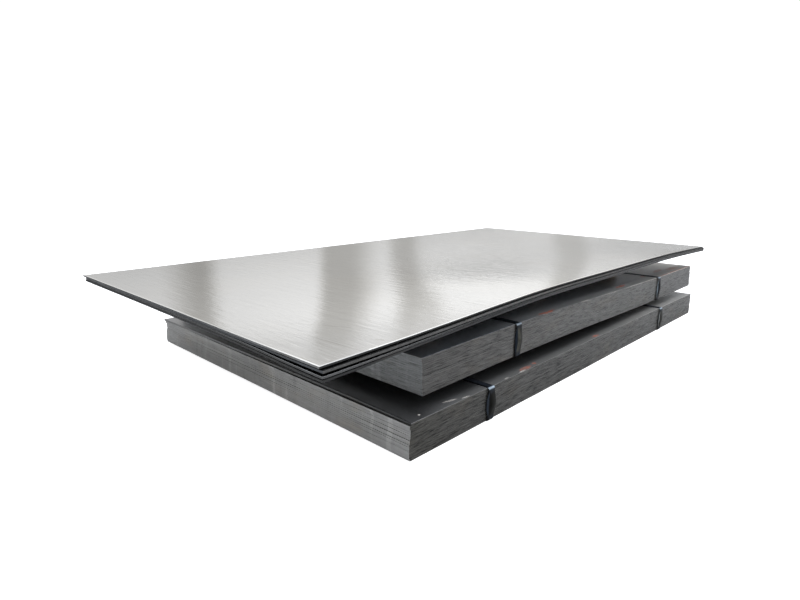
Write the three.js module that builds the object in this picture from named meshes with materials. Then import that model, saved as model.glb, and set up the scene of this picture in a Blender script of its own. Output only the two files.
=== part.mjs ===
// A stack of mill-finish hot-rolled steel plate. Two strapped bundles of 5 ft x 8 ft plate lie one on the other
// with flat battens between them, and four loose 5 ft x 10 ft plates lie across the top bundle.
// Millimetres, +Z up. +X runs along the long edges and +Y across the plates, away from the bundles' straight front face.
// The origin is on the floor, under the centre of the whole stack's bounding box.
import * as THREE from "three";

// ---- driving dimensions -------------------------------------------------------------------------------------
const PLATE_T = 6; // thickness of every plate
const PLATE_W = 1524; // 5 ft, every plate's width
const BUNDLE_L = 2438; // 8 ft, length of the bundled plates
const LOOSE_L = 3048; // 10 ft, length of the loose plates
const AIR = 0.3; // air between two pieces that lie on each other

const STRAP_W = 32; // steel strapping, 32 x 1
const STRAP_T = 1;
const STRAP_BEND = 5; // inside radius where a strap turns over a plate's edge
const STRAP_STAND = 4; // the stiff strap leaves the bend this far off the face
const STRAP_BOW_FRONT = 7; // and stands this much further off at half height, in front
const STRAP_BOW_BACK = 2.5;

const LOWER_COUNT = 18;
const LOWER_X = 0; // the lower bundle's top plate and front face give the datum corner that the rest is laid out from
const LOWER_Y = 0;
const LOWER_Z = STRAP_T + AIR; // the bottom run of the straps lies under the bundle
const LOWER_STRAPS = [386, 1939]; // strap centres from the near end
// how far each lower plate's near end lies from the datum, from the bottom one up
const LOWER_ENDS = [-3, -6.2, -7, -7.5, -7.6, -7.5, -7, -6.7, -6, -5.3, -4.4, -3.6, -2.9, -2.5, -3.3, -5.2, -6.4, 0];
const LOWER_TAIL = 8; // the bottom plate reaches this much further than the top one at the far end
const FIRST_SKEW = 11; // the bottom plate's near end is set back this far at its back corner
const SPRUNG_SKEW = 8; // the top plate's near end runs out this far at its back corner

const UPPER_COUNT = 19;
const UPPER_X = 100; // the upper bundle is set back from the near end and from the front face
const UPPER_Y = 46;
const UPPER_STRAPS = [512, 1906]; // strap centres from the upper bundle's own near end
const UPPER_ENDS = [0, -0.3, -0.8, -1.1, -1.6, -2.4, -2.8, -3, -3, -3, -3.1, -3.3, -3.5, -3.7, -4.1, -5.2, -6.8, -7.8, -8.2];
const UPPER_TAIL = 11;
const UPPER_DROOP = 9; // the upper bundle's far end hangs this much lower than its near end
const UPPER_BOW = [2.5, 5]; // and between them it bends: sine terms along its length

const PITCH = PLATE_T + AIR;
const LOWER_TOP = LOWER_Z + LOWER_COUNT * PLATE_T + (LOWER_COUNT - 1) * AIR;
const LOWER_GAP = 36; // clear height between the two bundles
const UPPER_Z = LOWER_TOP + LOWER_GAP;
const UPPER_TOP = UPPER_Z + UPPER_COUNT * PLATE_T + (UPPER_COUNT - 1) * AIR;

const LOOSE_COUNT = 4;
const LOOSE_X = -322; // near corner of the top loose plate, from the datum
const LOOSE_Y = -1;
const LOOSE_TURN = THREE.MathUtils.degToRad(0.82); // the loose plates lie slightly askew
const LOOSE_RISE = { near: 89.5, left: 99, right: 89, far: 100 }; // top face of plate 1 above the upper bundle, at its corners
const LOOSE_SPRING = [27.2, -0.5, 0.6, -2.1, -1.2]; // the front edge springs up between its corners: sine terms along it
const LOOSE_SPRING_REACH = 520; // and is flat again about this far in from the front edge
const FAN_EDGE = [0.8, 2.9, 0]; // extra air under loose plates 1, 2 and 3 along the front edge
const FAN_CORNER = [1.2, 3.7, 2.2]; // and at the near corner, where they fan apart
const LOOSE_SET = [
  // how far each loose plate's corners lie from the top plate's, along and across
  { near: [0, 0], right: [0, 0], far: [0, 0], left: [0, 0] },
  { near: [1, -12], right: [-9, -8], far: [-4, -8], left: [6, -10] },
  { near: [0, -10], right: [-12, -9], far: [-6, -9], left: [7, -9] },
  { near: [1, -10], right: [-10, -7], far: [-5, -7], left: [5, -8] },
];

const BATTEN_X = [500, 1280, 2150]; // batten centres from the datum, clear of every strap
const BATTEN_W = 90;
const BATTEN_Y0 = 330; // battens are shorter than the plates are wide, and stay well inside the edges
const BATTEN_Y1 = 1420;

const SEAL_L = 52; // crimped sleeve that joins a strap's ends, on the back face
const SEAL_T = 1.4;
const SEAL_LIP = 7; // how far its folded edges reach in behind the strap

// ---- materials ----------------------------------------------------------------------------------------------
const millSteel = new THREE.MeshStandardMaterial({
  color: 0xc2c3c1,
  roughness: 0.28,
  metalness: 1,
});
const edgeSteel = new THREE.MeshStandardMaterial({
  color: 0x6d6e6d,
  roughness: 0.45,
  metalness: 1,
});
const strapSteel = new THREE.MeshStandardMaterial({
  color: 0x23272c,
  roughness: 0.3,
  metalness: 0.9,
});
const timber = new THREE.MeshStandardMaterial({
  color: 0x8a7355,
  roughness: 0.9,
  metalness: 0,
});

// ---- helpers ------------------------------------------------------------------------------------------------
// Repeatable small numbers for the uneven ends of sheared plates: each is between -1 and 1.
function wobble(a, b) {
  const s = Math.sin(a * 127.1 + b * 311.7) * 43758.5453;
  return 2 * (s - Math.floor(s)) - 1;
}

// One closed slab over a grid of x and y lines. top(x, y) and bottom(x, y) give its two faces,
// and plan(x, y), where it is given, says where a grid point lies.
function slab(xs, ys, top, bottom, plan = (x, y) => [x, y]) {
  const nx = xs.length,
    ny = ys.length,
    position = [],
    index = [];
  for (const face of [top, bottom])
    for (const x of xs)
      for (const y of ys) {
        const [px, py] = plan(x, y);
        position.push(px, py, face(px, py));
      }
  const at = (f, i, j) => f * nx * ny + i * ny + j;
  for (let i = 0; i + 1 < nx; i++)
    for (let j = 0; j + 1 < ny; j++) {
      const [a, b, c, d] = [at(0, i, j), at(0, i + 1, j), at(0, i + 1, j + 1), at(0, i, j + 1)];
      index.push(a, b, c, a, c, d);
      const [e, f, g, h] = [at(1, i, j), at(1, i + 1, j), at(1, i + 1, j + 1), at(1, i, j + 1)];
      index.push(e, g, f, e, h, g);
    }
  const wall = (p, q, r, s) => index.push(p, q, r, p, r, s);
  for (let i = 0; i + 1 < nx; i++) {
    wall(at(1, i, 0), at(1, i + 1, 0), at(0, i + 1, 0), at(0, i, 0));
    wall(at(1, i + 1, ny - 1), at(1, i, ny - 1), at(0, i, ny - 1), at(0, i + 1, ny - 1));
  }
  for (let j = 0; j + 1 < ny; j++) {
    wall(at(1, 0, j + 1), at(1, 0, j), at(0, 0, j), at(0, 0, j + 1));
    wall(at(1, nx - 1, j), at(1, nx - 1, j + 1), at(0, nx - 1, j + 1), at(0, nx - 1, j));
  }
  const g = new THREE.BufferGeometry();
  g.setAttribute("position", new THREE.Float32BufferAttribute(position, 3));
  g.setIndex(index);
  g.computeVertexNormals();
  return g;
}

const stack = new THREE.Group();
const layout = new THREE.Group(); // everything is laid out from the datum corner, then centred
stack.add(layout);

function put(name, geometry, material, x, y, z, parent = layout) {
  const mesh = new THREE.Mesh(geometry, material);
  mesh.name = name;
  mesh.position.set(x, y, z);
  parent.add(mesh);
  return mesh;
}

// ---- bundles ------------------------------------------------------------------------------------------------
// How far the upper bundle's plates are off their level place, x from the bundle's near end.
function bow(x) {
  const u = x / BUNDLE_L;
  return UPPER_BOW.reduce((z, c, i) => z + c * Math.sin((i + 1) * Math.PI * u), -UPPER_DROOP * u);
}

// Plates, each a little out of line with its neighbours, ends giving its near end's place. tail how much further the
// bottom one reaches at the far end, shaped its plates that aren't plain. Returns the extremes that the straps go round.
function bundle(prefix, ends, tail, x0, y0, z0, seed, shaped, bend) {
  const reach = { front: Infinity, back: -Infinity },
    count = ends.length;
  for (let i = 0; i < count; i++) {
    const dx = ends[i] + 0.5 * wobble(seed, i),
      dy = 0.6 * wobble(seed + 7, i),
      length = BUNDLE_L - dx + tail * (1 - i / (count - 1)) + wobble(seed + 13, i),
      z = z0 + i * PITCH,
      name = prefix + "_plate_" + String(i + 1).padStart(2, "0");
    reach.front = Math.min(reach.front, y0 + dy);
    reach.back = Math.max(reach.back, y0 + dy + PLATE_W);
    if (shaped[i]) {
      put(name, shaped[i](length), i === count - 1 ? millSteel : edgeSteel, x0 + dx, y0 + dy, z);
      continue;
    }
    if (bend) {
      const xs = [0, 200, 400, 620, 850, 1100, 1350, 1620, 1900, 2180, length],
        low = (x) => bend(x + dx);
      put(name, slab(xs, [0, PLATE_W], (x) => low(x) + PLATE_T, low), i === count - 1 ? millSteel : edgeSteel, x0 + dx, y0 + dy, z);
      continue;
    }
    put(
      name,
      new THREE.BoxGeometry(length, PLATE_W, PLATE_T),
      i === count - 1 ? millSteel : edgeSteel,
      x0 + dx + length / 2,
      y0 + dy + PLATE_W / 2,
      z + PLATE_T / 2,
    );
  }
  return reach;
}

// The lower bundle's top plate is sprung up a little along its near short edge, which isn't quite square.
function sprungPlate(length) {
  const lift = (x, y) =>
    (2 + 3 * Math.min(1, y / 250) - 1.5 * (y / PLATE_W)) * Math.min(1, y / 60) * Math.exp(-((x / 150) ** 2));
  const xs = [0, 40, 80, 120, 160, 210, 270, 340, 700, length],
    ys = [0, 60, 150, 250, 500, 800, 1150, PLATE_W];
  const flat = (x, y) => (x > 330 ? 0 : Math.max(0, lift(x, y)));
  const plan = (x, y) => [x - SPRUNG_SKEW * (y / PLATE_W) * Math.max(0, 1 - x / 700), y];
  return slab(xs, ys, (x, y) => PLATE_T + flat(x, y), flat, plan);
}

// The bottom plate's near end isn't square either.
function firstPlate(length) {
  const plan = (x, y) => [x + FIRST_SKEW * (y / PLATE_W) * Math.max(0, 1 - x / 700), y];
  return slab([0, 350, 700, length], [0, PLATE_W], () => PLATE_T, () => 0, plan);
}

const lowerShaped = { 0: firstPlate, [LOWER_COUNT - 1]: sprungPlate };
const lowerReach = bundle("lower_bundle", LOWER_ENDS, LOWER_TAIL, LOWER_X, LOWER_Y, LOWER_Z, 3, lowerShaped, null);
const upperReach = bundle("upper_bundle", UPPER_ENDS, UPPER_TAIL, UPPER_X, UPPER_Y, UPPER_Z, 11, {}, bow);

// ---- straps -------------------------------------------------------------------------------------------------
// A strap's line round a bundle, in the y-z plane: flat above and below, bent over the four long edges,
// and standing off both faces. grow moves the line outwards, so 0 is the strap's inside and STRAP_T its outside.
function strapLine(reach, low, high, grow) {
  const r = STRAP_BEND + grow,
    f = reach.front - STRAP_STAND - grow,
    b = reach.back + STRAP_STAND + grow,
    l = low - AIR - grow,
    h = high + AIR + grow,
    points = [];
  const corner = (cy, cz, from) => {
    for (let k = 0; k <= 4; k++) {
      const a = THREE.MathUtils.degToRad(from + (90 * k) / 4);
      points.push(new THREE.Vector2(cy + r * Math.cos(a), cz + r * Math.sin(a)));
    }
  };
  const side = (y, zFrom, zTo, out, ease) => {
    for (let k = 1; k < 10; k++) {
      const t = k / 10;
      points.push(new THREE.Vector2(y + out * THREE.MathUtils.smoothstep(Math.min(t, 1 - t), 0, ease), zFrom + (zTo - zFrom) * t));
    }
  };
  corner(f + r, l + r, 180);
  corner(b - r, l + r, 270);
  side(b, l + r, h - r, STRAP_BOW_BACK, 0.2);
  corner(b - r, h - r, 0);
  corner(f + r, h - r, 90);
  side(f, h - r, l + r, -STRAP_BOW_FRONT, 0.5);
  return points;
}

// Turns a profile drawn in x, y and its depth into the stack's y, z and x.
const ALONG_X = new THREE.Matrix4().makeBasis(
  new THREE.Vector3(0, 1, 0),
  new THREE.Vector3(0, 0, 1),
  new THREE.Vector3(1, 0, 0),
);

function strap(name, x, reach, low, high) {
  const shape = new THREE.Shape(strapLine(reach, low, high, STRAP_T));
  shape.holes.push(new THREE.Path(strapLine(reach, low, high, 0)));
  const band = new THREE.ExtrudeGeometry(shape, { depth: STRAP_W, bevelEnabled: false });
  band.applyMatrix4(ALONG_X);
  put(name, band, strapSteel, x - STRAP_W / 2, 0, 0);

  // the sleeve: a C round the band's two edges, open towards the plates
  const inner = reach.back + STRAP_STAND + STRAP_BOW_BACK - AIR, // plate side of the band
    outer = inner + STRAP_T + 2 * AIR,
    half = STRAP_W / 2 + AIR,
    c = new THREE.Shape([
      new THREE.Vector2(-half - SEAL_T, inner - SEAL_T),
      new THREE.Vector2(-half + SEAL_LIP, inner - SEAL_T),
      new THREE.Vector2(-half + SEAL_LIP, inner),
      new THREE.Vector2(-half, inner),
      new THREE.Vector2(-half, outer),
      new THREE.Vector2(half, outer),
      new THREE.Vector2(half, inner),
      new THREE.Vector2(half - SEAL_LIP, inner),
      new THREE.Vector2(half - SEAL_LIP, inner - SEAL_T),
      new THREE.Vector2(half + SEAL_T, inner - SEAL_T),
      new THREE.Vector2(half + SEAL_T, outer + SEAL_T),
      new THREE.Vector2(-half - SEAL_T, outer + SEAL_T),
    ]);
  const sleeve = new THREE.ExtrudeGeometry(c, { depth: SEAL_L, bevelEnabled: false });
  put(name.replace("_strap", "_seal"), sleeve, strapSteel, x, 0, (low + high) / 2 - SEAL_L / 2);
}

strap("lower_strap_near", LOWER_X + LOWER_STRAPS[0], lowerReach, LOWER_Z, LOWER_TOP);
strap("lower_strap_far", LOWER_X + LOWER_STRAPS[1], lowerReach, LOWER_Z, LOWER_TOP);
UPPER_STRAPS.forEach((x, i) =>
  strap("upper_strap_" + ["near", "far"][i], UPPER_X + x, upperReach, UPPER_Z + bow(x) - 0.15, UPPER_TOP + bow(x) + 0.15),
);

// ---- loose plates -------------------------------------------------------------------------------------------
const sin = Math.sin,
  exp = Math.exp;

// Top face of loose plate 1 above the upper bundle, at a along and b across it.
function looseTop(a, b) {
  const u = a / LOOSE_L,
    v = b / PLATE_W,
    c = LOOSE_RISE,
    flat = (c.near * (1 - u) + c.right * u) * (1 - v) + (c.left * (1 - u) + c.far * u) * v,
    spring = LOOSE_SPRING.reduce((z, h, i) => z + h * sin((i + 1) * Math.PI * u), 0);
  return flat + spring * exp(-((b / LOOSE_SPRING_REACH) ** 2));
}

// Distance from plate 1's top face down to plate k + 1's.
function looseDrop(k, a, b) {
  let drop = 0;
  for (let i = 0; i < k; i++) {
    const edge = FAN_EDGE[i] * exp(-((b / 250) ** 2)) * (1 - THREE.MathUtils.smoothstep(a, 1500, LOOSE_L)),
      corner = FAN_CORNER[i] * exp(-((a / 330) ** 2)) * exp(-((b / 280) ** 2));
    drop += PLATE_T + AIR + 0.25 + edge + corner;
  }
  return drop;
}

const loose = new THREE.Group();
loose.position.set(LOOSE_X, LOOSE_Y, UPPER_TOP);
loose.rotation.z = LOOSE_TURN;
layout.add(loose);

for (let k = 0; k < LOOSE_COUNT; k++) {
  const set = LOOSE_SET[k],
    xs = [0, 60, 150, 260, 380, 520, 680, 850, 1020, 1190, 1360, 1530, 1700, 1870, 2040, 2210, 2380, 2550, 2720, 2890, LOOSE_L],
    ys = [0, 70, 140, 220, 310, 410, 520, 660, 850, 1180, PLATE_W],
    blend = (i, u, v) => (set.near[i] * (1 - u) + set.right[i] * u) * (1 - v) + (set.left[i] * (1 - u) + set.far[i] * u) * v,
    plan = (a, b) => [a + blend(0, a / LOOSE_L, b / PLATE_W), b + blend(1, a / LOOSE_L, b / PLATE_W)],
    top = (x, y) => looseTop(x, y) - looseDrop(k, x, y);
  put("loose_plate_" + (k + 1), slab(xs, ys, top, (x, y) => top(x, y) - PLATE_T, plan), millSteel, 0, 0, 0, loose);
}

// ---- battens ------------------------------------------------------------------------------------------------
function batten(name, x, z0, z1) {
  put(name, new THREE.BoxGeometry(BATTEN_W, BATTEN_Y1 - BATTEN_Y0, z1 - z0), timber, x, (BATTEN_Y0 + BATTEN_Y1) / 2, (z0 + z1) / 2);
}

// Lowest point of the loose plates' underside over one batten, above the upper bundle.
function looseUnderside(x) {
  let least = Infinity;
  for (let i = 0; i <= 8; i++)
    for (let j = 0; j <= 60; j++) {
      const p = new THREE.Vector3(x + (i / 8 - 0.5) * (BATTEN_W + 40), BATTEN_Y0 + (j / 60) * (BATTEN_Y1 - BATTEN_Y0), 0)
        .sub(new THREE.Vector3(LOOSE_X, LOOSE_Y, 0))
        .applyAxisAngle(new THREE.Vector3(0, 0, 1), -LOOSE_TURN);
      least = Math.min(least, looseTop(p.x, p.y) - looseDrop(LOOSE_COUNT - 1, p.x, p.y) - PLATE_T);
    }
  return least;
}

BATTEN_X.forEach((x, i) => {
  const ends = [bow(x - UPPER_X - BATTEN_W / 2), bow(x - UPPER_X + BATTEN_W / 2)];
  batten("lower_batten_" + (i + 1), x, LOWER_TOP + AIR, UPPER_Z + Math.min(...ends) - 2 * AIR);
  batten("upper_batten_" + (i + 1), x, UPPER_TOP + Math.max(...ends) + 2 * AIR, UPPER_TOP + looseUnderside(x) - 3 * AIR);
});

// ---- centring -----------------------------------------------------------------------------------------------
stack.updateMatrixWorld(true);
const box = new THREE.Box3().setFromObject(stack, true);
layout.position.set(-(box.min.x + box.max.x) / 2, -(box.min.y + box.max.y) / 2, -box.min.z);

export default stack;
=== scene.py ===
"""Looks for a stack of mill-finish steel plate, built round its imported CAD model. Metres, +Z up, in the part's own frame."""

import math

import bpy
import numpy as np
from mathutils import Matrix, Vector


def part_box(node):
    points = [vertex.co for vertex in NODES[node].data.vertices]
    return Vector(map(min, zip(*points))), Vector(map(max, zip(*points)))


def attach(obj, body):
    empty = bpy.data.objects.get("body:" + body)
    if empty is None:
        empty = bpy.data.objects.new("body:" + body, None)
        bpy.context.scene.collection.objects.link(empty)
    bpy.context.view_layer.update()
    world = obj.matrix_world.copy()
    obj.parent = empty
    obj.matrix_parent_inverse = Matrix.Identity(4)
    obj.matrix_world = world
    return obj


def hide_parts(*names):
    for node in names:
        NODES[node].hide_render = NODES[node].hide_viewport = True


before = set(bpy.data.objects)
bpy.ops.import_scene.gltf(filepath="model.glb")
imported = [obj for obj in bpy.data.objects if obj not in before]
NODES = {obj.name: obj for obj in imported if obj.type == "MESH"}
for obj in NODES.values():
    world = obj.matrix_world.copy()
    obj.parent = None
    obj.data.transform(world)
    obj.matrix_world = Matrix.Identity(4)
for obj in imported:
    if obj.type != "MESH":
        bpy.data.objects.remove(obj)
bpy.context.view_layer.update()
MM = 0.001

# ---- datum: the lower bundle's near front corner, which the plate layout is measured from --------------------------
lo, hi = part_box("lower_strap_near")
OX = (lo.x + hi.x) / 2 - 386 * MM
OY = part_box("lower_batten_1")[0].y - 330 * MM
PITCH = 6.3 * MM
LOWER_Z = 1.3 * MM
UPPER_X, UPPER_Z = 100.0, 150.4 * MM
UPPER_TOP = 269.8 * MM


# ---- small numeric helpers -----------------------------------------------------------------------------------------
def rnd(a, b=0.0):
    """Repeatable number from -1 to 1."""
    s = math.sin(a * 127.1 + b * 311.7 + 5.3) * 43758.5453
    return 2 * (s - math.floor(s)) - 1


def ripple(t, seed, waves):
    """A smooth irregular line: waves is (wavelength, height) pairs in the unit of t."""
    t = np.asarray(t, float)
    out = np.zeros_like(t)
    for k, (length, height) in enumerate(waves):
        for m in range(3):
            w = length * (1 + 0.37 * rnd(seed + 3.1 * k, m))
            out += height * 0.6 * np.sin(2 * np.pi * (t / w + 0.5 * rnd(seed + 7.7 * k, m + 11)))
    return out


def smoothstep(t, a, b):
    u = np.clip((np.asarray(t, float) - a) / (b - a), 0, 1)
    return u * u * (3 - 2 * u)


# ---- meshes --------------------------------------------------------------------------------------------------------
def new_object(name, verts, faces, uvs=None, mats=None, sharp=None, smooth=True):
    """verts (n,3) and faces as a list of index tuples. uvs is one (u,v) per corner, mats one slot number per face."""
    me = bpy.data.meshes.new(name)
    me.from_pydata([tuple(v) for v in verts], [], [tuple(f) for f in faces])
    if uvs is not None:
        layer = me.uv_layers.new(name="OFBake")
        layer.data.foreach_set("uv", np.asarray(uvs, np.float32).ravel())
    if mats is not None:
        me.polygons.foreach_set("material_index", np.asarray(mats, np.int32))
    me.polygons.foreach_set("use_smooth", np.full(len(me.polygons), smooth))
    if sharp is not None:
        pairs = {(min(a, b), max(a, b)) for a, b in sharp}
        ends = np.empty(len(me.edges) * 2, np.int32)
        me.edges.foreach_get("vertices", ends)
        ends.shape = (-1, 2)
        flags = np.array([(min(a, b), max(a, b)) in pairs for a, b in ends.tolist()], bool)
        me.edges.foreach_set("use_edge_sharp", flags)
    me.update()
    me.validate(clean_customdata=False)
    o = bpy.data.objects.new(name, me)
    bpy.context.scene.collection.objects.link(o)
    return o


# The sheared edge of a plate from top to bottom: (height as a share of the thickness, inset in mm).
# Rolled-over arris, burnished land, rougher fracture and a small burr. Bundled plates are pressed together, so theirs is tight.
EDGE_RINGS = [(1.0, 0.34), (0.972, 0.13), (0.92, 0.03), (0.74, 0.0), (0.45, 0.02), (0.1, 0.04), (0.03, 0.1), (0.0, 0.24)]
OPEN_RINGS = [(1.0, 0.55), (0.968, 0.22), (0.91, 0.05), (0.74, 0.0), (0.45, 0.02), (0.1, 0.06), (0.04, 0.18), (0.0, 0.42)]
TOP_RINGS = [(1.0, 3.4), (0.988, 1.9), (0.955, 0.85), (0.89, 0.3), (0.78, 0.04), (0.45, 0.0), (0.1, 0.05), (0.03, 0.14), (0.0, 0.36)]
TIGHT_RINGS = [(1.0, 1.1), (0.985, 0.6), (0.95, 0.28), (0.9, 0.1), (0.8, 0.0), (0.45, 0.0), (0.1, 0.1), (0.03, 0.3), (0.0, 0.6)]
PALE_RINGS = [(1.0, 2.2), (0.985, 1.3), (0.945, 0.62), (0.88, 0.22), (0.78, 0.0), (0.45, 0.0), (0.1, 0.1), (0.03, 0.3), (0.0, 0.6)]
LOOSE_RINGS = [(1.0, 9.0), (0.996, 6.0), (0.984, 3.2), (0.966, 1.5), (0.935, 0.6), (0.86, 0.1), (0.6, 0.0), (0.3, 0.02), (0.1, 0.2), (0.025, 0.34), (0.0, 0.62)]


def plate_mesh(name, a, b, plan, top, bottom, seed, caps="grid", rings=EDGE_RINGS, wave=1.0, share=(0.62, 0.12), rim=True, paint=None):
    """One plate. a and b are its plan lines in its own frame, plan turns (a, b) arrays into x and y, top and bottom give z.
    caps is grid for faces that follow their lines, or strips for faces that bend only along a. share is how much of the map they take.
    rim says that the rolled-over arris is as bright as the face above it. paint may give a wall face another slot, from its
    side, its ring and its place along and across the plate."""
    na, nb = len(a), len(b)
    walk = [(i, 0) for i in range(na)] + [(na - 1, j) for j in range(1, nb)]
    walk += [(i, nb - 1) for i in range(na - 2, -1, -1)] + [(0, j) for j in range(nb - 2, 0, -1)]
    K = len(walk)
    wi, wj = np.array(walk).T
    inward_a = np.where(wi == 0, 1.0, 0.0) - np.where(wi == na - 1, 1.0, 0.0)
    inward_b = np.where(wj == 0, 1.0, 0.0) - np.where(wj == nb - 1, 1.0, 0.0)
    pa, pb = a[wi].copy(), b[wj].copy()
    # the plan line of each edge wanders a little
    off = np.zeros(K)
    waves = ((0.9, 0.35 * MM * wave), (0.21, 0.16 * MM * wave), (0.06, 0.07 * MM * wave))
    for side, mask, t in ((1, wj == 0, pa), (2, wi == na - 1, pb), (3, wj == nb - 1, pa), (4, wi == 0, pb)):
        off += np.where(mask & ~((wi == 0) | (wi == na - 1)) | (mask & (side in (2, 4))), ripple(t, seed * 9.7 + side, waves), 0)
    off = np.clip(off, -0.55 * MM, 0.55 * MM) + 0.4 * MM
    verts, faces, uvs, mats, sharp = [], [], [], [], []
    ring_at = []
    for r, (height, inset) in enumerate(rings):
        rough = 0.0 if r in (0, len(rings) - 1) else 0.06 * MM
        d = off + inset * MM + rough * np.sin(pa * 910 + pb * 1130 + r * 2.1 + seed)
        qa, qb = pa + inward_a * d, pb + inward_b * d
        x, y = plan(qa, qb)
        z = bottom(qa, qb) + height * (top(qa, qb) - bottom(qa, qb))
        ring_at.append(len(verts))
        verts.extend(np.stack([x, y, z], 1).tolist())
    # map: faces above, edges below
    t_share, b_share = share
    strip = (1 - t_share - b_share - 0.02) / 4
    length, width = a[-1] - a[0], b[-1] - b[0]
    ua, ub = (pa - a[0]) / length, (pb - b[0]) / width
    heights = [h for h, _ in rings]
    side_of = np.empty(K, int)  # the side that the wall from point k to k + 1 belongs to
    for k in range(K):
        n = (k + 1) % K
        side_of[k] = 0 if wj[k] == 0 and wj[n] == 0 else 1 if wi[k] == na - 1 and wi[n] == na - 1 else 2 if wj[k] == nb - 1 and wj[n] == nb - 1 else 3
    for r in range(len(rings) - 1):
        p, q = ring_at[r], ring_at[r + 1]
        for k in range(K):
            n = (k + 1) % K
            faces.append((q + k, q + n, p + n, p + k))
            s = side_of[k]
            u0, u1 = (ua[k], ua[n]) if s in (0, 2) else (ub[k] * width / length, ub[n] * width / length)
            base = 0.004 + s * strip
            v0, v1 = base + heights[r + 1] * (strip - 0.008), base + heights[r] * (strip - 0.008)
            uvs += [(u0, v0), (u1, v0), (u1, v1), (u0, v1)]
            slot = 0 if rim and heights[r + 1] > (0.93 if rings is LOOSE_RINGS else 0.8) else 1 if s in (0, 2) else 2
            mats.append(slot if paint is None else paint(s, r, ua[k], ub[k], slot))
            if wi[k] in (0, na - 1) and wj[k] in (0, nb - 1):
                sharp.append((p + k, q + k))
    first, last = ring_at[0], ring_at[-1]
    for cap, ring, f, low, size in ((0, first, top, 1 - t_share + 0.003, t_share - 0.006), (1, last, bottom, 1 - t_share - b_share + 0.003, b_share - 0.006)):
        for k in range(K):
            sharp.append((ring + k, ring + (k + 1) % K))
        if caps == "strips":
            front = list(range(na))
            back = [na - 1 + nb - 1 + (na - 1 - i) for i in range(na)]
            loops = [[front[i], front[i + 1], back[i + 1], back[i]] for i in range(1, na - 2)]
            loops.append([0, 1, back[1]] + [k % K for k in range(back[0], K)])
            loops.append(list(range(na - 2, back[na - 2] + 1)))
            for loop in loops:
                loop = loop if cap == 0 else loop[::-1]
                faces.append(tuple(ring + k for k in loop))
                uvs += [(0.002 + 0.996 * ua[k], low + size * ub[k]) for k in loop]
                mats.append(0 if cap == 0 else 3)
            continue
        inner = np.full((na, nb), -1)
        for k in range(K):
            inner[wi[k], wj[k]] = ring + k
        ia, ib = np.meshgrid(np.arange(1, na - 1), np.arange(1, nb - 1), indexing="ij")
        qa, qb = a[ia.ravel()], b[ib.ravel()]
        x, y = plan(qa, qb)
        inner[1:-1, 1:-1] = len(verts) + np.arange(len(qa)).reshape(na - 2, nb - 2)
        verts.extend(np.stack([x, y, f(qa, qb)], 1).tolist())
        u = 0.002 + 0.996 * (a - a[0]) / length
        v = low + size * (b - b[0]) / width
        for i in range(na - 1):
            for j in range(nb - 1):
                c = [(i, j), (i + 1, j), (i + 1, j + 1), (i, j + 1)]
                c = c if cap == 0 else c[::-1]
                faces.append(tuple(int(inner[m, n]) for m, n in c))
                uvs += [(u[m], v[n]) for m, n in c]
                mats.append(0 if cap == 0 else 3)
    return new_object(name, verts, faces, uvs, mats, sharp)


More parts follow.
